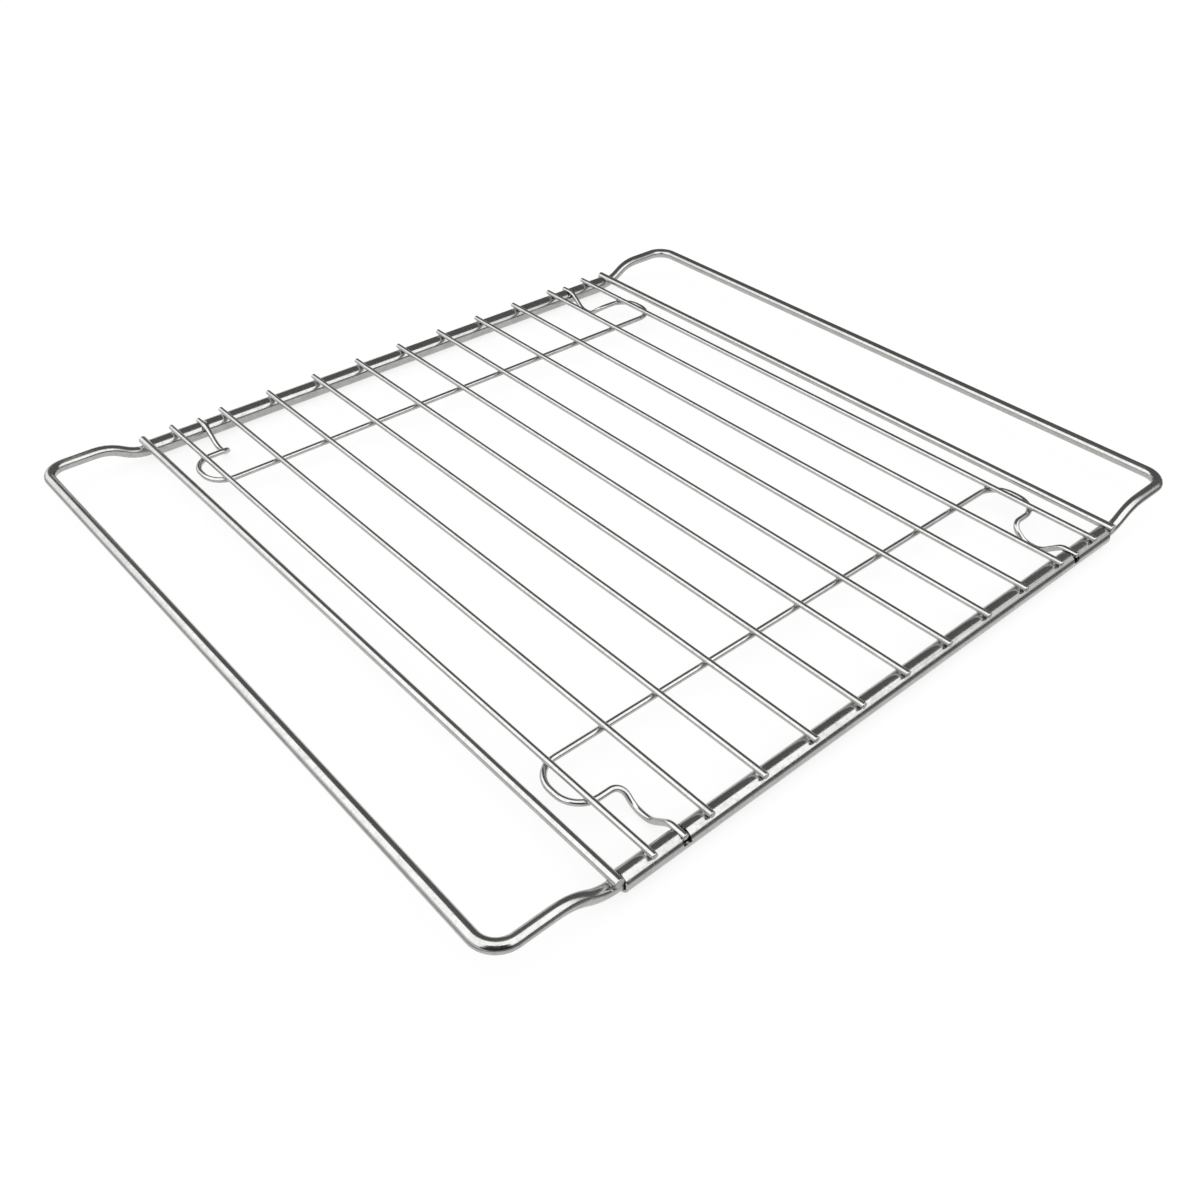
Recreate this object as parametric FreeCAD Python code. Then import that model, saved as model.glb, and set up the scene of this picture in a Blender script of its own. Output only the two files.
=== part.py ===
import FreeCAD, Part
import math
import os

from FreeCAD import Vector

# Extending oven shelf: cross wires on two guide tubes, and a sliding arm at each side.
# X runs along the tubes, Y from front to back, Z up from the surface that the feet rest on.
# All sizes are in millimetres.

# Cross wires
wire_diameter = 2.5
wire_count = 11
wire_pitch = 25.0
wire_overhang = 3.2          # cut end of a wire beyond the tube's axis

# Guide tubes
tube_diameter = 8.0
tube_bore = 6.0
tube_spacing = 320.4         # between the two axes
tube_end_margin = 12.0       # tube end beyond the outermost wire
tube_rim_chamfer = 0.3

# Sliding loops
rod_diameter = 5.0
rod_running_clearance = 0.15  # under the rod, which lies on the floor of the bore
rod_end_gap = 10.0           # between the two arms' rod ends at the middle of a tube
runner_reach = 48.0          # runner's axis beyond the tube end
runner_rise = 7.6            # runner's axis above the legs in the tubes
runner_corner_radius = 9.0
step_length = 11.6           # along X between the two corners of a leg's step
step_bend_radius = 22.0
step_start_gap = 3.2         # from the bar's side to the first corner of the step

# Stop bars
bar_diameter = 3.8
bar_overhang = 3.0           # cut end of a bar beyond the leg's axis
bar_stop_gap = 0.3           # from the bar to the tube end when the arm is pushed in

# Spring wires
spring_diameter = 2.5
spring_inset = 47.7          # long run, inward from the tube's axis
spring_return_inset = 27.4   # run that comes back under the outermost wire
spring_turn_reach = 5.9      # outermost point of the turn beyond the outermost wire
spring_corner_radius = 4.5
spring_end_inset = 13.3      # spring's end, inward from the outermost wire
spring_overhang = 3.2        # cut end beyond the tube's axis
spring_shoulder = 0.3        # from the tube's side to the bend at its top
spring_shoulder_radius = 5.3
spring_rod_gap = 0.2         # from the spring's end down to the rod
foot_drop = 0.3              # foot's underside below the tube's underside
foot_start = 9.0             # from the tube's side to the foot
foot_length = 7.1
foot_bend_radius = 8.4

# Slots in the tubes
slot_width = 3.5
slot_offset = 0.35           # slot's centre, inward from the spring's end
slot_below_rod = 1.45        # slot's floor below the top of the rod

# Welds
weld_sink = 0.2              # how far a wire or bar is sunk into the tube or leg under it

wire_radius = wire_diameter / 2
tube_radius = tube_diameter / 2
bore_radius = tube_bore / 2
rod_radius = rod_diameter / 2
bar_radius = bar_diameter / 2
spring_radius = spring_diameter / 2

outer_wire_x = wire_pitch * (wire_count - 1) / 2
spring_end_x = outer_wire_x - spring_end_inset
slot_x = spring_end_x - slot_offset
tube_end_x = outer_wire_x + tube_end_margin
tube_y = tube_spacing / 2

tube_z = tube_radius + foot_drop
rod_z = tube_z - (bore_radius - rod_radius - rod_running_clearance)
wire_z = tube_z + tube_radius + wire_radius - weld_sink
bar_z = rod_z + rod_radius + bar_radius - weld_sink
bar_x = tube_end_x + bar_stop_gap + bar_radius

along_x = Vector(1, 0, 0)
along_y = Vector(0, 1, 0)


def straight_bar(start, direction, length, radius):
    """A straight round bar with square cut ends."""
    return Part.makeCylinder(radius, length, start, direction)


def rounded_path(corners, radii):
    """A path of straight runs through the corners, each inner corner rounded to its radius."""
    edges = []
    start = corners[0]
    for i, radius in enumerate(radii, 1):
        corner = corners[i]
        back = (corners[i - 1] - corner).normalize()
        ahead = (corners[i + 1] - corner).normalize()
        half_angle = back.getAngle(ahead) / 2
        tangent = radius / math.tan(half_angle)
        arc_start = corner + back * tangent
        arc_end = corner + ahead * tangent
        inward = (back + ahead).normalize()
        arc_middle = corner + inward * (radius / math.sin(half_angle) - radius)
        if (arc_start - start).Length > 1e-6:
            edges.append(Part.makeLine(start, arc_start))
        edges.append(Part.Arc(arc_start, arc_middle, arc_end).toShape())
        start = arc_end
    edges.append(Part.makeLine(start, corners[-1]))
    return Part.Wire(edges)


def bent_rod(corners, radii, radius):
    """A round rod bent along a rounded path, with square cut ends."""
    path = rounded_path(corners, radii)
    section = Part.Wire(Part.makeCircle(radius, corners[0], corners[1] - corners[0]))
    return path.makePipeShell([section], True, False)


def mirrored(corners):
    """The same points on the other side of the middle, in the opposite order."""
    return [Vector(-point.x, point.y, point.z) for point in reversed(corners)]


def guide_tube(side):
    """A tube on the front (-1) or the back (1), with chamfered rims and a slot near each end."""
    profile = Part.makePolygon([
        Vector(-tube_end_x, bore_radius, 0),
        Vector(-tube_end_x, tube_radius - tube_rim_chamfer, 0),
        Vector(-tube_end_x + tube_rim_chamfer, tube_radius, 0),
        Vector(tube_end_x - tube_rim_chamfer, tube_radius, 0),
        Vector(tube_end_x, tube_radius - tube_rim_chamfer, 0),
        Vector(tube_end_x, bore_radius, 0),
        Vector(-tube_end_x, bore_radius, 0),
    ])
    tube = Part.Face(profile).revolve(Vector(0, 0, 0), along_x, 360)
    tube.translate(Vector(0, side * tube_y, tube_z))
    slot_floor = rod_z + rod_radius - slot_below_rod
    for end in (-1, 1):
        corner = Vector(end * slot_x - slot_width / 2, side * tube_y - tube_diameter, slot_floor)
        tube = tube.cut(Part.makeBox(slot_width, 2 * tube_diameter, tube_diameter, corner))
    return tube


def cross_wire(index):
    """One straight wire, seated in a shallow saddle on each tube."""
    x = index * wire_pitch - outer_wire_x
    start = Vector(x, -tube_y - wire_overhang, wire_z)
    length = tube_spacing + 2 * wire_overhang
    wire = straight_bar(start, along_y, length, wire_radius)
    for side in (-1, 1):
        tube_start = Vector(-tube_end_x, side * tube_y, tube_z)
        wire = wire.cut(straight_bar(tube_start, along_x, 2 * tube_end_x, tube_radius))
    return wire


def spring_wire(side):
    """The bent wire at the front (-1) or the back (1). It touches the cross wires from below,
    and both its ends lie in the tube's slots."""
    turn_x = outer_wire_x + spring_turn_reach
    turn_radius = (spring_inset - spring_return_inset) / 2
    run_z = wire_z - wire_radius - spring_radius
    foot_z = spring_radius
    end_z = rod_z + rod_radius + spring_rod_gap + spring_radius
    stations = [
        (spring_end_x, -spring_overhang, end_z),
        (spring_end_x, tube_radius + spring_shoulder, end_z),
        (spring_end_x, tube_radius + foot_start, foot_z),
        (spring_end_x, tube_radius + foot_start + foot_length, foot_z),
        (spring_end_x, spring_return_inset, run_z),
        (turn_x, spring_return_inset, run_z),
        (turn_x, spring_inset, run_z),
    ]
    right_half = [Vector(x, side * (tube_y - inset), z) for x, inset, z in stations]
    end_radii = [spring_shoulder_radius, foot_bend_radius, foot_bend_radius,
                 spring_corner_radius, turn_radius, turn_radius]
    corners = right_half + mirrored(right_half)
    return bent_rod(corners, end_radii + end_radii[::-1], spring_radius)


def arm_loop(side):
    """The bent rod of the left (-1) or right (1) arm: two legs, their steps and the runner."""
    inner_x = rod_end_gap / 2
    step_x = bar_x + bar_radius + step_start_gap
    raised_x = step_x + step_length
    runner_x = tube_end_x + runner_reach
    raised_z = rod_z + runner_rise
    stations = [(inner_x, rod_z), (step_x, rod_z), (raised_x, raised_z), (runner_x, raised_z)]
    front = [Vector(side * x, -tube_y, z) for x, z in stations]
    back = [Vector(side * x, tube_y, z) for x, z in reversed(stations)]
    leg_radii = [step_bend_radius, step_bend_radius, runner_corner_radius]
    return bent_rod(front + back, leg_radii + leg_radii[::-1], rod_radius)


def stop_bar(side, loop):
    """The bar across an arm's two legs, seated in a shallow saddle on each."""
    start = Vector(side * bar_x, -tube_y - bar_overhang, bar_z)
    length = tube_spacing + 2 * bar_overhang
    bar = straight_bar(start, along_y, length, bar_radius)
    return bar.cut(loop)


nodes = {f"cross_wire_{index + 1:02d}": cross_wire(index) for index in range(wire_count)}
for name, side in (("front", -1), ("back", 1)):
    nodes[f"{name}_tube"] = guide_tube(side)
    nodes[f"{name}_spring_wire"] = spring_wire(side)
for name, side in (("left", -1), ("right", 1)):
    nodes[f"{name}_loop"] = arm_loop(side)
    nodes[f"{name}_bar"] = stop_bar(side, nodes[f"{name}_loop"])

os.makedirs("parts", exist_ok=True)
for name, shape in nodes.items():
    shape.exportStep(f"parts/{name}.step")
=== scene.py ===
import math

import bmesh
import bpy
from mathutils import Matrix, Quaternion, Vector, noise


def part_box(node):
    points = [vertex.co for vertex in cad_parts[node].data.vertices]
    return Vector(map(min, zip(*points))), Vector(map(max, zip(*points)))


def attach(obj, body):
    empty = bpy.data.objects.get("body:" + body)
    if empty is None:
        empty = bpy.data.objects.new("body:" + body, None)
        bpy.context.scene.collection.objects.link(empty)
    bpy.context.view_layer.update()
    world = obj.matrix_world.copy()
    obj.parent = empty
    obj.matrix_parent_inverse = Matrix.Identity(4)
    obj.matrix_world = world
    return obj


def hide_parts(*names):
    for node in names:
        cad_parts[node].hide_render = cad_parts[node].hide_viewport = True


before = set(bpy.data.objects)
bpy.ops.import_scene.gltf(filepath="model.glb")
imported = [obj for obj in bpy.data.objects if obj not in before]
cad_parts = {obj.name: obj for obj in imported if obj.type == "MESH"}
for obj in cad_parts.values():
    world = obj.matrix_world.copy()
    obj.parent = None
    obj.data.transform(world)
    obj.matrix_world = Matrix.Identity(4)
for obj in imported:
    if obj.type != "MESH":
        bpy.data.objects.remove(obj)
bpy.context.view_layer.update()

# Extending oven shelf in bright plated steel. X runs along the tubes, Y from front to back, Z up.
# All sizes are in metres.
mm = 0.001

# Sides of the shelf
both_sides = (-1, 1)
arm_sides = {"left": -1, "right": 1}
edge_sides = {"front": -1, "back": 1}

# Gauges of the rods and the spring wires
rod_radius = 2.5 * mm
spring_radius = 1.25 * mm

# Sizes that the solids' boxes give
tube_low, tube_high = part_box("front_tube")
wire_low, wire_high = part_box("cross_wire_01")
bar_low, bar_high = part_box("left_bar")
loop_low, loop_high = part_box("left_loop")
spring_low, spring_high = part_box("front_spring_wire")
wire_names = sorted(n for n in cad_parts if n.startswith("cross_wire"))
wire_places = [sum(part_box(n), Vector()).x / 2 for n in wire_names]

tube_radius = (tube_high.z - tube_low.z) / 2
tube_y = -(tube_high.y + tube_low.y) / 2
tube_z = (tube_high.z + tube_low.z) / 2
tube_end = tube_high.x
wire_radius = (wire_high.x - wire_low.x) / 2
wire_z = wire_high.z - wire_radius
wire_end = wire_high.y
bar_radius = (bar_high.x - bar_low.x) / 2
bar_x = -(bar_high.x + bar_low.x) / 2
bar_z = bar_high.z - bar_radius
bar_end = bar_high.y
rod_z = loop_low.z + rod_radius
runner_z = loop_high.z - rod_radius
runner_x = -loop_low.x - rod_radius
rod_inner_end = -loop_high.x
spring_reach = spring_high.x - spring_radius
spring_run_y = -spring_high.y - spring_radius

# Bends of the loops and the spring wires
step_start = 144.3 * mm
step_end = 155.9 * mm
step_bend = 22 * mm
runner_corner = 9 * mm
spring_end_x = 111.7 * mm
spring_end_y = -spring_low.y
spring_end_z = 7.9 * mm
spring_run_z = 6.85 * mm
spring_return_y = 132.8 * mm
shoulder_y = 155.9 * mm
foot_near_y = 147.2 * mm
foot_far_y = 140.1 * mm
foot_z = spring_radius
shoulder_bend = 5.3 * mm
foot_bend = 8.4 * mm
spring_corner = 4.5 * mm
spring_turn = 10.15 * mm

# Walls, rims and slots of the tubes
bore_radius = 3 * mm
rim_chamfer = 0.3 * mm
mouth_chamfer = 0.3 * mm
slot_x = 111.35 * mm
slot_width = 3.5 * mm
slot_floor = 5.0 * mm

# Cut ends, dull zones and mesh fineness
wire_end_round = 0.35 * mm
bar_end_round = 0.2 * mm
rod_end_round = 0.5 * mm
dull_end = 0.5 * mm
weld_haze = 2.6 * mm
wire_sides = 24
rod_sides = 36
tube_sides = 64
ring_gap = 2.5 * mm
bend_step = math.radians(7.5)
shortest_feed = 0.01 * mm
sharp_angle = math.radians(38)
cut_tolerance = 0.001 * mm


class BentWire:
    """Round stock that is fed out and bent ring by ring, as on a wire former."""

    def __init__(self, place, heading, radius, sides):
        self.bm = bmesh.new()
        self.drawn = self.bm.verts.layers.float_vector.new("drawn")
        self.dulled = self.bm.verts.layers.float.new("dulled")
        self.place = place.copy()
        self.heading = heading.normalized()
        self.fed = 0.0
        facing = self.heading.to_track_quat("Z", "Y").to_matrix().to_4x4()
        made = bmesh.ops.create_circle(self.bm, cap_ends=False, radius=radius, segments=sides,
                                       matrix=Matrix.Translation(place) @ facing)
        self.ring = made["verts"]
        self.first_ring = list(self.ring)
        self.mark(1.0)

    def ring_edges(self, ring):
        return [self.bm.edges.get((ring[i - 1], ring[i])) for i in range(len(ring))]

    def mark(self, dull):
        """Notes on the newest ring where it lies round and along the stock."""
        for i, vert in enumerate(self.ring):
            angle = math.tau * i / len(self.ring)
            vert[self.drawn] = (math.cos(angle), math.sin(angle), self.fed)
            vert[self.dulled] = dull

    def next_ring(self):
        made = bmesh.ops.extrude_edge_only(self.bm, edges=self.ring_edges(self.ring))
        new = {g for g in made["geom"] if isinstance(g, bmesh.types.BMVert)}
        self.ring = [next(e.other_vert(v) for e in v.link_edges if e.other_vert(v) in new)
                     for v in self.ring]

    def feed(self, length, dull=0.0):
        """Pushes the stock straight ahead."""
        count = max(1, round(length / ring_gap))
        for _ in range(count):
            self.next_ring()
            bmesh.ops.translate(self.bm, verts=self.ring, vec=self.heading * (length / count))
            self.fed += length / count
            self.mark(dull)
        self.place += self.heading * length

    def bend(self, inward, angle, radius):
        """Turns the stock towards the inner side of the bend, on a former of this radius."""
        count = max(1, math.ceil(angle / bend_step))
        axis = self.heading.cross(inward)
        centre = self.place + inward * radius
        step = Matrix.Rotation(angle / count, 3, axis)
        for _ in range(count):
            self.next_ring()
            bmesh.ops.rotate(self.bm, verts=self.ring, cent=centre, matrix=step)
            self.fed += radius * angle / count
            self.mark(0.0)
        whole = Matrix.Rotation(angle, 3, axis)
        self.place = centre + whole @ (self.place - centre)
        self.heading = whole @ self.heading

    def follow(self, corners, radii):
        """Feeds from the first corner to the last and bends at each one between them."""
        self.feed(dull_end)
        for i, radius in enumerate(radii, 1):
            ahead = (corners[i + 1] - corners[i]).normalized()
            angle = self.heading.angle(ahead)
            tangent = radius * math.tan(angle / 2)
            straight = (corners[i] - self.place).length - tangent
            if straight > shortest_feed:
                self.feed(straight)
            inward = (ahead - self.heading * ahead.dot(self.heading)).normalized()
            self.bend(inward, angle, radius)
        self.feed((corners[-1] - self.place).length - dull_end)
        self.feed(dull_end, dull=1.0)

    def cut_ends(self, rounding):
        """Closes both ends and takes the sharp edge off them."""
        for ring in (self.first_ring, self.ring):
            edges = self.ring_edges(ring)
            bmesh.ops.contextual_create(self.bm, geom=edges)
            bmesh.ops.bevel(self.bm, geom=edges, offset=rounding, offset_type="OFFSET",
                            segments=3, profile=0.5, affect="EDGES", material=-1)

    def haze(self, weld_places):
        """Dulls the plating close to the welds."""
        for vert in self.bm.verts:
            vert[self.dulled] = max(vert[self.dulled], weld_haze_at(vert.co, weld_places))


def weld_haze_at(point, weld_places):
    """How dull the plating is at a point: 1 on a weld, fading out around it."""
    near = min((point - w).length for w in weld_places)
    return math.exp(-(near / weld_haze) ** 2)


def make_piece(name, bm, body, material, node=None):
    """Turns a finished mesh into a piece of the shelf that moves with its body."""
    bmesh.ops.recalc_face_normals(bm, faces=bm.faces[:])
    for face in bm.faces:
        face.smooth = True
    mesh = bpy.data.meshes.new(name)
    bm.to_mesh(mesh)
    bm.free()
    mesh.set_sharp_from_angle(angle=sharp_angle)
    mesh.materials.append(material)
    piece = bpy.data.objects.new(name, mesh)
    bpy.context.scene.collection.objects.link(piece)
    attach(piece, body)
    if node:
        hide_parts(node)
    return piece


# Finishes
die_line_stretch = (4.0, 4.0, 45.0)
cloud_scale = 140.0
speck_scale = 750.0
grain_scale = 2200.0
stain_scale = 420.0
weld_lump_scale = 900.0
weld_patch_scale = 350.0
die_line_depth = 0.05 * mm
grain_depth = 0.02 * mm
weld_lump_depth = 0.15 * mm


def set_input(tree, socket, value):
    """Links a socket to another node's output, or sets it to a plain value."""
    if isinstance(value, bpy.types.NodeSocket):
        tree.links.new(value, socket)
    else:
        socket.default_value = value


def add_node(tree, kind, **inputs):
    made = tree.nodes.new(kind)
    for name, value in inputs.items():
        set_input(tree, made.inputs[name], value)
    return made


def new_material(name):
    material = bpy.data.materials.new(name)
    material.use_nodes = True
    tree = material.node_tree
    shader = tree.nodes["Principled BSDF"]
    return material, tree, shader


def attribute(tree, name):
    made = add_node(tree, "ShaderNodeAttribute")
    made.attribute_name = name
    return made


def object_place(tree):
    return add_node(tree, "ShaderNodeTexCoord").outputs["Object"]


def noise_value(tree, place, scale, detail):
    made = add_node(tree, "ShaderNodeTexNoise", Vector=place, Scale=scale, Detail=detail)
    return made.outputs["Fac"]


def spread(tree, value, taken, wanted):
    """Maps the range that is taken from a value to the range that a finish needs."""
    made = add_node(tree, "ShaderNodeMapRange", Value=value)
    made.interpolation_type = "SMOOTHSTEP"
    made.inputs["From Min"].default_value, made.inputs["From Max"].default_value = taken
    made.inputs["To Min"].default_value, made.inputs["To Max"].default_value = wanted
    return made.outputs["Result"]


def mix_colour(tree, factor, first, second):
    """Blends two colours, which the node takes at its sockets 6 and 7 and gives at its output 2."""
    made = add_node(tree, "ShaderNodeMix")
    made.data_type = "RGBA"
    for index, value in ((0, factor), (6, first), (7, second)):
        set_input(tree, made.inputs[index], value)
    return made.outputs[2]


def calculate(tree, operation, first, second):
    made = add_node(tree, "ShaderNodeMath")
    made.operation = operation
    set_input(tree, made.inputs[0], first)
    set_input(tree, made.inputs[1], second)
    return made.outputs[0]


def plated_steel(name, bright, cloudy, dull, smooth, rough, mottled, streak):
    """Bright plating over drawn steel: lengthwise die lines, faint clouding and dull weld zones."""
    material, tree, shader = new_material(name)
    stretched = add_node(tree, "ShaderNodeVectorMath")
    stretched.operation = "MULTIPLY"
    tree.links.new(attribute(tree, "drawn").outputs["Vector"], stretched.inputs[0])
    stretched.inputs[1].default_value = die_line_stretch
    die_lines = noise_value(tree, stretched.outputs[0], 1.0, 3.0)
    place = object_place(tree)
    clouds = noise_value(tree, place, cloud_scale, 4.0)
    specks = noise_value(tree, place, speck_scale, 3.0)
    grain = noise_value(tree, place, grain_scale, 2.0)
    dulled = attribute(tree, "dulled").outputs["Fac"]

    clouding = spread(tree, clouds, (0.38, 0.66), (0.0, 1.0))
    spotting = spread(tree, specks, (0.46, 0.70), (0.0, 0.6))
    dulling = spread(tree, dulled, (0.1, 1.0), (0.0, 0.75))
    clouded = mix_colour(tree, clouding, bright, cloudy)
    spotted = mix_colour(tree, spotting, clouded, dull)
    tree.links.new(mix_colour(tree, dulling, spotted, dull), shader.inputs["Base Color"])

    lined = spread(tree, die_lines, (0.3, 0.7), (smooth, rough))
    worn = spread(tree, dulled, (0.1, 1.0), (0.0, 0.22))
    speckled = spread(tree, specks, (0.45, 0.72), (0.0, mottled))
    roughness = calculate(tree, "ADD", calculate(tree, "ADD", lined, worn), speckled)
    tree.links.new(roughness, shader.inputs["Roughness"])
    shader.inputs["Metallic"].default_value = 1.0

    lines = add_node(tree, "ShaderNodeBump", Height=die_lines, Strength=streak, Distance=die_line_depth)
    pores = add_node(tree, "ShaderNodeBump", Height=grain, Normal=lines.outputs["Normal"],
                     Strength=0.04, Distance=grain_depth)
    tree.links.new(pores.outputs["Normal"], shader.inputs["Normal"])
    return material


def shaded_bore_steel(name, shaded_tone, shaded_stain):
    """Steel inside the tubes, painted dark as shade in the bore: rough, with uneven stains."""
    material, tree, shader = new_material(name)
    stains = noise_value(tree, object_place(tree), stain_scale, 3.0)
    staining = spread(tree, stains, (0.35, 0.65), (0.0, 1.0))
    tree.links.new(mix_colour(tree, staining, shaded_tone, shaded_stain), shader.inputs["Base Color"])
    tree.links.new(spread(tree, stains, (0.35, 0.65), (0.5, 0.7)), shader.inputs["Roughness"])
    shader.inputs["Metallic"].default_value = 1.0
    return material


def weld_metal(name, pale, dark):
    """Squeezed-out weld metal under the plating, lumpy and greyer than the wires."""
    material, tree, shader = new_material(name)
    place = object_place(tree)
    lumps = noise_value(tree, place, weld_lump_scale, 4.0)
    patches = noise_value(tree, place, weld_patch_scale, 2.0)
    greyness = spread(tree, patches, (0.35, 0.65), (0.0, 1.0))
    tree.links.new(mix_colour(tree, greyness, pale, dark), shader.inputs["Base Color"])
    tree.links.new(spread(tree, lumps, (0.3, 0.7), (0.26, 0.55)), shader.inputs["Roughness"])
    shader.inputs["Metallic"].default_value = 1.0
    bump = add_node(tree, "ShaderNodeBump", Height=lumps, Strength=0.5, Distance=weld_lump_depth)
    tree.links.new(bump.outputs["Normal"], shader.inputs["Normal"])
    return material


wire_finish = plated_steel("plated_wire", bright=(0.46, 0.46, 0.45, 1), cloudy=(0.415, 0.415, 0.405, 1),
                           dull=(0.35, 0.345, 0.335, 1), smooth=0.11, rough=0.18, mottled=0.10, streak=0.10)
tube_finish = plated_steel("plated_tube", bright=(0.43, 0.43, 0.42, 1), cloudy=(0.38, 0.38, 0.37, 1),
                           dull=(0.33, 0.325, 0.315, 1), smooth=0.11, rough=0.17, mottled=0.13, streak=0.08)
rod_finish = plated_steel("plated_rod", bright=(0.44, 0.44, 0.43, 1), cloudy=(0.395, 0.395, 0.385, 1),
                          dull=(0.33, 0.325, 0.315, 1), smooth=0.13, rough=0.20, mottled=0.07, streak=0.08)
# The bore finish is painted shade: a dark colour that stands in for the shade inside the tubes.
bore_shade_finish = shaded_bore_steel("bore_steel_painted_shade", shaded_tone=(0.16, 0.157, 0.152, 1), shaded_stain=(0.10, 0.096, 0.092, 1))
weld_finish = weld_metal("weld_metal", pale=(0.37, 0.37, 0.36, 1), dark=(0.24, 0.235, 0.228, 1))

# Places of the welds
wire_bottom = wire_z - wire_radius
outer_wires = (wire_places[0], wire_places[-1])
tube_welds = [Vector((x, s * tube_y, tube_z + tube_radius)) for x in wire_places for s in both_sides]
run_welds = [Vector((x, s * spring_run_y, wire_bottom)) for x in wire_places for s in both_sides]
return_welds = [Vector((x, s * spring_return_y, wire_bottom)) for x in outer_wires for s in both_sides]
bar_welds = {side: [Vector((side * bar_x, s * tube_y, rod_z + rod_radius)) for s in both_sides]
             for side in both_sides}


# Cross wires and stop bars
def straight_wire(x, z, end, radius, rounding, weld_places):
    """A straight wire across the shelf, from front to back, with cut ends."""
    stock = BentWire(Vector((x, -end, z)), Vector((0, 1, 0)), radius, wire_sides)
    stock.feed(dull_end)
    stock.feed(2 * end - 2 * dull_end)
    stock.feed(dull_end, dull=1.0)
    stock.cut_ends(rounding)
    stock.haze(weld_places)
    return stock.bm


for name, x in zip(wire_names, wire_places):
    crossings = [w for w in tube_welds + run_welds + return_welds if abs(w.x - x) < wire_radius]
    wire = straight_wire(x, wire_z, wire_end, wire_radius, wire_end_round, crossings)
    make_piece(f"plated_{name}", wire, "grid", wire_finish, name)

for arm, side in arm_sides.items():
    bar = straight_wire(side * bar_x, bar_z, bar_end, bar_radius, bar_end_round, bar_welds[side])
    make_piece(f"plated_{arm}_bar", bar, f"{arm}_arm", wire_finish, f"{arm}_bar")


# Sliding loops
def arm_loop(side):
    """One bent rod: out of the front tube, up the step, along the runner and back into the other tube."""
    half = [(rod_inner_end, tube_y, rod_z),
            (step_start, tube_y, rod_z),
            (step_end, tube_y, runner_z),
            (runner_x, tube_y, runner_z)]
    front = [Vector((side * x, -y, z)) for x, y, z in half]
    back = [Vector((side * x, y, z)) for x, y, z in reversed(half)]
    bends = [step_bend, step_bend, runner_corner]
    stock = BentWire(front[0], front[1] - front[0], rod_radius, rod_sides)
    stock.follow(front + back, bends + bends[::-1])
    stock.cut_ends(rod_end_round)
    stock.haze(bar_welds[side])
    return stock.bm


for arm, side in arm_sides.items():
    make_piece(f"plated_{arm}_loop", arm_loop(side), f"{arm}_arm", rod_finish, f"{arm}_loop")


# Spring wires
def spring_wire(side):
    """The bent wire under the grid: cut end in the slot, foot, turn and long run, the same at each end."""
    half = [(spring_end_x, spring_end_y, spring_end_z),
            (spring_end_x, shoulder_y, spring_end_z),
            (spring_end_x, foot_near_y, foot_z),
            (spring_end_x, foot_far_y, foot_z),
            (spring_end_x, spring_return_y, spring_run_z),
            (spring_reach, spring_return_y, spring_run_z),
            (spring_reach, spring_run_y, spring_run_z)]
    left = [Vector((-x, side * y, z)) for x, y, z in half]
    right = [Vector((x, side * y, z)) for x, y, z in reversed(half)]
    bends = [shoulder_bend, foot_bend, foot_bend, spring_corner, spring_turn, spring_turn]
    stock = BentWire(left[0], left[1] - left[0], spring_radius, wire_sides)
    stock.follow(left + right, bends + bends[::-1])
    stock.cut_ends(wire_end_round)
    stock.haze([w for w in run_welds + return_welds if w.y * side > 0])
    return stock.bm


for edge, side in edge_sides.items():
    make_piece(f"plated_{edge}_spring", spring_wire(side), "grid", wire_finish,
               f"{edge}_spring_wire")


# Guide tubes
def guide_tube(side):
    """A tube with chamfered rims and a slot across its top near each end."""
    bm = bmesh.new()
    wall = [(-tube_end + rim_chamfer, tube_radius), (tube_end - rim_chamfer, tube_radius),
            (tube_end, tube_radius - rim_chamfer), (tube_end, bore_radius + mouth_chamfer),
            (tube_end - mouth_chamfer, bore_radius), (-tube_end + mouth_chamfer, bore_radius),
            (-tube_end, bore_radius + mouth_chamfer), (-tube_end, tube_radius - rim_chamfer)]
    corners = [bm.verts.new((x, 0, r)) for x, r in wall]
    edges = [bm.edges.new((corners[i - 1], corners[i])) for i in range(len(corners))]
    lengthwise = [e for e in edges if e.calc_length() > tube_end]
    bmesh.ops.subdivide_edges(bm, edges=lengthwise, cuts=round(2 * tube_end / ring_gap))
    bmesh.ops.spin(bm, geom=bm.verts[:] + bm.edges[:], cent=(0, 0, 0), axis=(1, 0, 0), dvec=(0, 0, 0),
                   angle=math.tau, steps=tube_sides, use_merge=True, use_duplicate=False)
    bmesh.ops.translate(bm, verts=bm.verts[:], vec=(0, side * tube_y, tube_z))
    for end in both_sides:
        cut_slot(bm, end * slot_x)
    finish_walls(bm, side)
    return bm


def cut_slot(bm, x):
    """Cuts the top off the tube over the slot's width, and closes its sides between the two walls."""
    ends = (x - slot_width / 2, x + slot_width / 2)
    for end in ends:
        bmesh.ops.bisect_plane(bm, geom=bm.verts[:] + bm.edges[:] + bm.faces[:], dist=cut_tolerance,
                               plane_co=(end, 0, 0), plane_no=(1, 0, 0))
    stretch = [f for f in bm.faces if ends[0] < f.calc_center_median().x < ends[1]]
    around = list({g for f in stretch for g in (*f.verts, *f.edges)})
    bmesh.ops.bisect_plane(bm, geom=stretch + around, dist=cut_tolerance,
                           plane_co=(0, 0, slot_floor), plane_no=(0, 0, 1))
    lid = [f for f in bm.faces
           if ends[0] < f.calc_center_median().x < ends[1] and f.calc_center_median().z > slot_floor]
    bmesh.ops.delete(bm, geom=lid, context="FACES")
    rims = [e for e in bm.edges if e.is_boundary]
    bmesh.ops.bridge_loops(bm, edges=rims)


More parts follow.
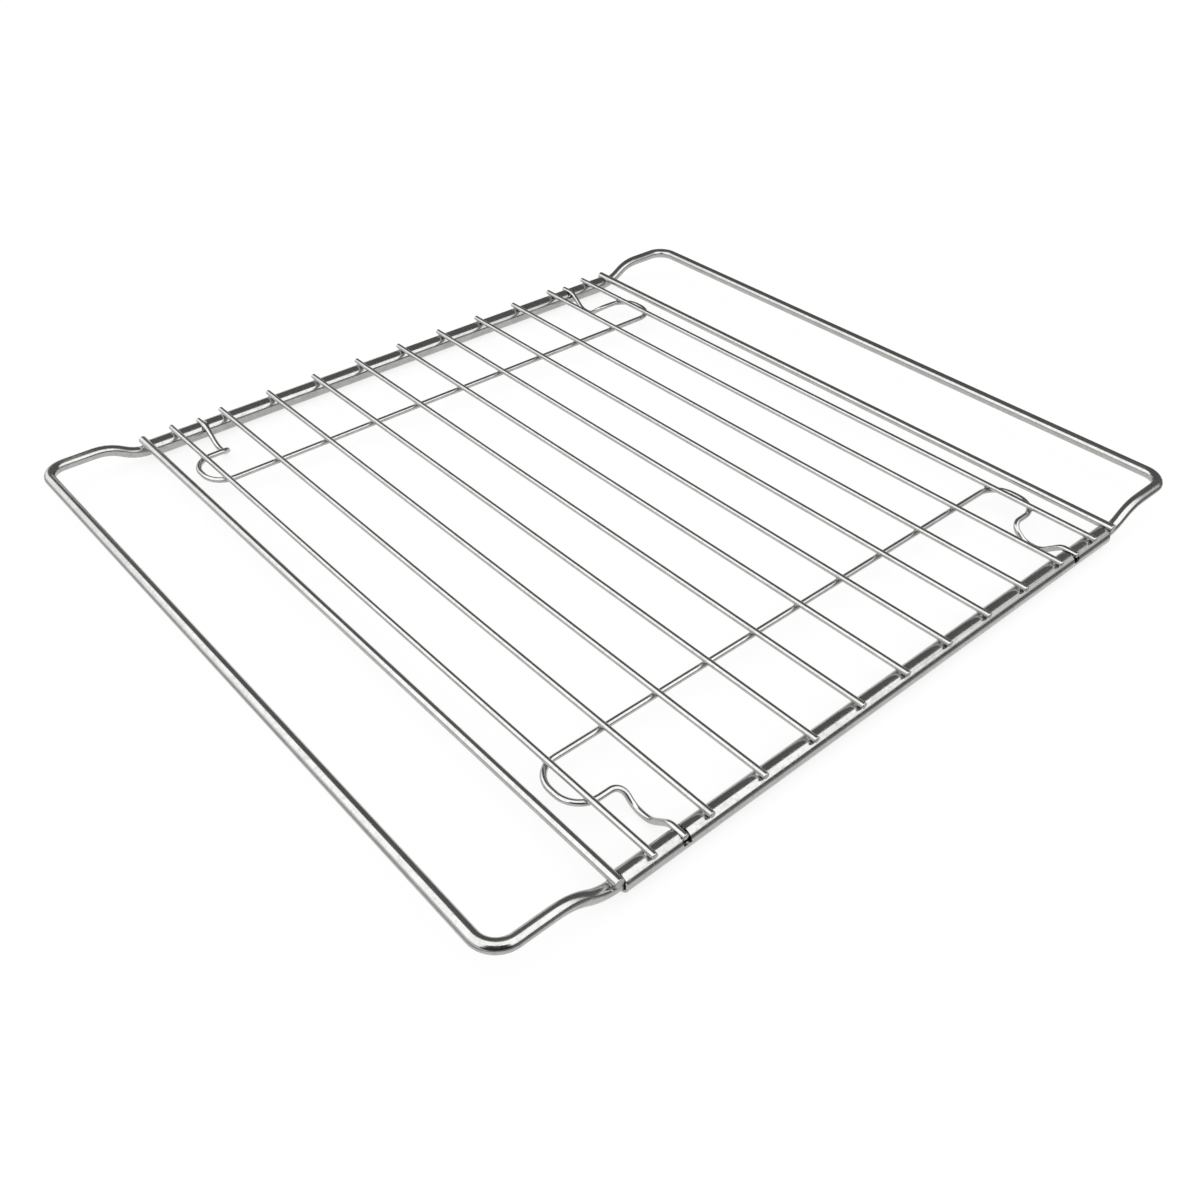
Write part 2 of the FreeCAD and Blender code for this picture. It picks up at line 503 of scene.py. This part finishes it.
def finish_walls(bm, side):
    """Notes how the tube was drawn and where welds dull it, and gives its bore the dark finish of painted
    shade.
    """
    drawn = bm.verts.layers.float_vector.new("drawn")
    dulled = bm.verts.layers.float.new("dulled")
    crossings = [w for w in tube_welds if w.y * side > 0]
    for vert in bm.verts:
        across = Vector((vert.co.y - side * tube_y, vert.co.z - tube_z)).normalized()
        vert[drawn] = (across.x, across.y, vert.co.x)
        vert[dulled] = weld_haze_at(vert.co, crossings)
    axis = Vector((0, side * tube_y, tube_z))
    for face in bm.faces:
        out = face.calc_center_median() - axis
        out.x = 0
        # Faces inside the bore take the second material, the dark finish of painted shade.
        face.material_index = int(out.length < bore_radius)


for edge, side in edge_sides.items():
    tube = make_piece(f"plated_{edge}_tube", guide_tube(side), "grid", tube_finish,
                      f"{edge}_tube")
    # The second material is the painted shade of the bore.
    tube.data.materials.append(bore_shade_finish)

# Weld lumps, and the spatter on the legs outside the stop bars
tube_weld_size = (1.4 * mm, 1.15 * mm, 0.4 * mm)
run_weld_size = (1.0 * mm, 1.0 * mm, 0.35 * mm)
bar_weld_size = (2.1 * mm, 1.7 * mm, 0.55 * mm)
weld_sink = 0.1 * mm
bar_weld_shift = 0.7 * mm
lump_grain = 1.1 * mm
lump_swell = 0.22
spatter_count = 11
spatter_reach = 3.6 * mm
spatter_spread = math.radians(55)
spatter_size = 0.55 * mm
run_weld_seed = 50
bar_weld_seed = 90
spatter_seed = 120


def weld_lump(bm, place, half_size, seed):
    """A small uneven lump of squeezed-out metal."""
    shape = Matrix.Translation(place) @ Matrix.Diagonal((*half_size, 1))
    made = bmesh.ops.create_icosphere(bm, subdivisions=2, radius=1.0, matrix=shape)
    for vert in made["verts"]:
        away = vert.co - place
        swell = noise.noise(away / lump_grain + Vector((seed * 3.7, seed * 1.3, seed * 5.1)))
        vert.co = place + away * (1 + lump_swell * swell)


def spatter(bm, weld, side, row):
    """Drops of weld metal, strewn unevenly over the top of a leg."""
    for i in range(spatter_count):
        out = (bar_radius + spatter_reach * (i + 0.5) / spatter_count) * side
        roll = spatter_spread * math.sin(2.4 * i + 1.7 * row + side)
        around = Vector((out, rod_radius * math.sin(roll), rod_radius * (math.cos(roll) - 1)))
        size = spatter_size * (0.65 + 0.35 * math.cos(1.9 * i + row))
        weld_lump(bm, weld + around, (1.4 * size, size, 0.8 * size), spatter_seed + 20 * row + i)


grid_welds = bmesh.new()
for seed, weld in enumerate(tube_welds):
    weld_lump(grid_welds, weld - Vector((0, 0, weld_sink)), tube_weld_size, seed)
for seed, weld in enumerate(run_welds + return_welds, run_weld_seed):
    weld_lump(grid_welds, weld, run_weld_size, seed)
make_piece("grid_welds", grid_welds, "grid", weld_finish)

for arm, side in arm_sides.items():
    arm_welds = bmesh.new()
    for row, weld in enumerate(bar_welds[side]):
        lump_place = weld + Vector((side * bar_weld_shift, 0, -weld_sink))
        weld_lump(arm_welds, lump_place, bar_weld_size, bar_weld_seed + row)
        spatter(arm_welds, weld, side, row)
    make_piece(f"{arm}_arm_welds", arm_welds, f"{arm}_arm", weld_finish)

# Studio
# The floor is pale and the surroundings are white. Soft lights hang over the left and the front, and a dim
# flag over the back and the right. Dark boards stand in front and at the right, and the camera's stand is
# dark. Dark cards of painted shade, standing in for the shaded floor near the shelf, lie on the floor in
# front and at the left. Only the metal shows these dark shapes.
floor_half = 8.0
floor_drop = 0.02 * mm
floor_grey = 0.22
floor_glow = 0.81

# Each light has two corners and a level
light_height = 0.5
lights = {
    "left_light": (Vector((-2.2, -0.1)), Vector((-0.1, 0.72)), 1.25),
    "back_light": (Vector((-2.2, 0.72)), Vector((-0.2, 2.4)), 0.85),
    "front_light": (Vector((-2.2, -1.5)), Vector((0.48, -0.1)), 1.25),
    "corner_light": (Vector((0.48, -1.5)), Vector((0.74, -0.56)), 1.15),
    "side_light": (Vector((0.48, -0.56)), Vector((0.68, -0.22)), 0.55),
    "far_light": (Vector((0.74, -1.5)), Vector((0.95, -0.56)), 0.62),
}

# Each card has two corners and a height. It is kept only to the left of a slanting edge, which has a
# place and a way that it runs.
card_lift = 0.3 * mm
card_places = {
    "back_flag": (Vector((-0.1, -0.6)), Vector((1.6, 1.6)), light_height),
    # The two cards on the floor are painted shade: they stand in for the shaded floor near the shelf.
    "floor_painted_shade": (Vector((-0.9, -1.45)), Vector((1.45, -0.1)), card_lift),
    "left_painted_shade": (Vector((-0.28, -0.19)), Vector((-0.206, 0.5)), card_lift),
}
card_edges = {
    "back_flag": (Vector((-0.1, 0.0)), Vector((0.8, -0.3))),
    # The edges of the two floor cards follow where the painted floor shade ends.
    "floor_painted_shade": (Vector((-0.137, -0.185)), Vector((-1, -0.04))),
    "left_painted_shade": (Vector((-0.228, -0.15)), Vector((0.022, -0.45))),
}

# Each board has the bearings of its two ends and a height. The top of the front board slopes down
# towards the right, through two bearings and heights.
boards_away = 1.5
board_steps = 32
board_places = {
    "right_board": (-155, -60, 0.49),
    "front_board": (-60, 75, 0.61),
}
front_board_slope = ((-49, 0.27), (-27, 0.61))

stand_bearing = 42
stand_away = 0.52
stand_half = 0.2
stand_high = 0.48

dark_greys = {
    "back_flag": 0.78,
    # The greys of the two floor cards are painted shade.
    "floor_painted_shade": 0.30,
    "left_painted_shade": 0.33,
    "right_board": 0.28,
    "front_board": 0.24,
    "camera_stand": 0.04,
}


def bearing(degrees):
    """Level direction, counted from the front towards the left."""
    angle = math.radians(degrees)
    return Vector((-math.sin(angle), -math.cos(angle), 0))


def upward(height):
    return Vector((0, 0, height))


def plain_finish(name, grey):
    """An even, matt grey."""
    material, tree, shader = new_material(name)
    shader.inputs["Base Color"].default_value = (grey, grey, grey, 1)
    shader.inputs["Roughness"].default_value = 1.0
    shader.inputs["Specular IOR Level"].default_value = 0.0
    return material, tree, shader


def floor_finish():
    """Pale floor that glows a little where it is seen, straight or in the metal, so that it looks white."""
    material, tree, shader = plain_finish("floor_white", floor_grey)
    path = add_node(tree, "ShaderNodeLightPath")
    seen = path.outputs["Is Camera Ray"]
    for kind in ("Is Glossy Ray", "Is Transmission Ray"):
        seen = calculate(tree, "MAXIMUM", seen, path.outputs[kind])
    glow = calculate(tree, "MULTIPLY", seen, floor_glow)
    shader.inputs["Emission Color"].default_value = (1, 1, 1, 1)
    tree.links.new(glow, shader.inputs["Emission Strength"])
    return material


def stage_piece(name, bm, material):
    """Turns a finished mesh into a piece of the studio."""
    mesh = bpy.data.meshes.new(name)
    bm.to_mesh(mesh)
    bm.free()
    mesh.materials.append(material)
    piece = bpy.data.objects.new(name, mesh)
    bpy.context.scene.collection.objects.link(piece)
    return piece


def flat_card(corner, far_corner, height):
    """A level rectangle between two corners."""
    bm = bmesh.new()
    spread_out = Matrix.Diagonal((*((far_corner - corner) / 2), 1, 1))
    middle = Matrix.Translation((*((far_corner + corner) / 2), height))
    bmesh.ops.create_grid(bm, x_segments=1, y_segments=1, size=1.0, matrix=middle @ spread_out)
    return bm


def curved_board(from_bearing, to_bearing, height):
    """An upright board bent round the shelf."""
    bm = bmesh.new()
    foot = bearing(from_bearing) * boards_away
    post = bm.edges.new([bm.verts.new(foot + upward(z)) for z in (0, height)])
    turn = -math.radians(to_bearing - from_bearing)
    bmesh.ops.spin(bm, geom=[*post.verts, post], cent=(0, 0, 0), axis=(0, 0, 1), dvec=(0, 0, 0),
                   angle=turn, steps=board_steps, use_merge=False, use_duplicate=False)
    return bm


def stand_board():
    """The camera's stand, as a flat upright board that faces the shelf."""
    bm = bmesh.new()
    foot = bearing(stand_bearing) * stand_away
    half_width = bearing(stand_bearing + 90) * stand_half
    post = bm.edges.new([bm.verts.new(foot - half_width + upward(z)) for z in (0, stand_high)])
    extruded = bmesh.ops.extrude_edge_only(bm, edges=[post])
    bmesh.ops.translate(bm, vec=2 * half_width,
                        verts=[g for g in extruded["geom"] if isinstance(g, bmesh.types.BMVert)])
    return bm


def trim(bm, place, kept_way):
    """Trims a card or a board along a plane, and keeps the side that kept_way points to."""
    bmesh.ops.bisect_plane(bm, geom=bm.verts[:] + bm.edges[:] + bm.faces[:], dist=0.1 * mm,
                           plane_co=place, plane_no=kept_way, clear_inner=True)


floor = bmesh.new()
bmesh.ops.create_grid(floor, x_segments=1, y_segments=1, size=floor_half,
                      matrix=Matrix.Translation(upward(-floor_drop)))
stage_piece("floor", floor, floor_finish())

dark_shapes = {name: flat_card(*place) for name, place in card_places.items()}
for name, (edge_place, edge_way) in card_edges.items():
    trim(dark_shapes[name], (*edge_place, 0), (-edge_way.y, edge_way.x, 0))
for name, place in board_places.items():
    dark_shapes[name] = curved_board(*place)
slope_low, slope_high = (bearing(degrees) * boards_away + upward(z) for degrees, z in front_board_slope)
slope_way = slope_high - slope_low
trim(dark_shapes["front_board"], slope_low, slope_way.cross(slope_way.cross(upward(1))))
dark_shapes["camera_stand"] = stand_board()

for name, shape in dark_shapes.items():
    dark_finish, _, _ = plain_finish(f"{name}_grey", dark_greys[name])
    dark_piece = stage_piece(name, shape, dark_finish)
    dark_piece.visible_camera = False
    dark_piece.visible_diffuse = False
    dark_piece.visible_shadow = False

for name, (corner, far_corner, level) in lights.items():
    lamp = bpy.data.lights.new(name, "AREA")
    lamp.shape = "RECTANGLE"
    lamp.size, lamp.size_y = far_corner - corner
    lamp.energy = level * math.pi * lamp.size * lamp.size_y
    lamp_object = bpy.data.objects.new(name, lamp)
    lamp_object.location = (*((corner + far_corner) / 2), light_height)
    lamp_object.visible_camera = False
    lamp_object.visible_diffuse = False
    bpy.context.scene.collection.objects.link(lamp_object)

world = bpy.data.worlds.new("studio_white")
world.use_nodes = True
background = world.node_tree.nodes["Background"]
background.inputs["Color"].default_value = (1, 1, 1, 1)
background.inputs["Strength"].default_value = 1.0
bpy.context.scene.world = world

# Camera
camera_place = Vector((-0.29096, -0.32166, 0.29809))
camera_aim = Vector((-0.05242, -0.05508, 0.0039))
camera_roll = math.radians(0.935)
camera = bpy.data.cameras.new("camera")
camera.sensor_width = 36
camera.lens = 35.532
camera.clip_start = 0.01
camera.clip_end = 100
camera_object = bpy.data.objects.new("camera", camera)
unrolled = (camera_aim - camera_place).to_track_quat("-Z", "Y")
camera_object.rotation_euler = (unrolled @ Quaternion((0, 0, 1), camera_roll)).to_euler()
camera_object.location = camera_place
bpy.context.scene.collection.objects.link(camera_object)
bpy.context.scene.camera = camera_object
bpy.context.scene.view_settings.view_transform = "Standard"
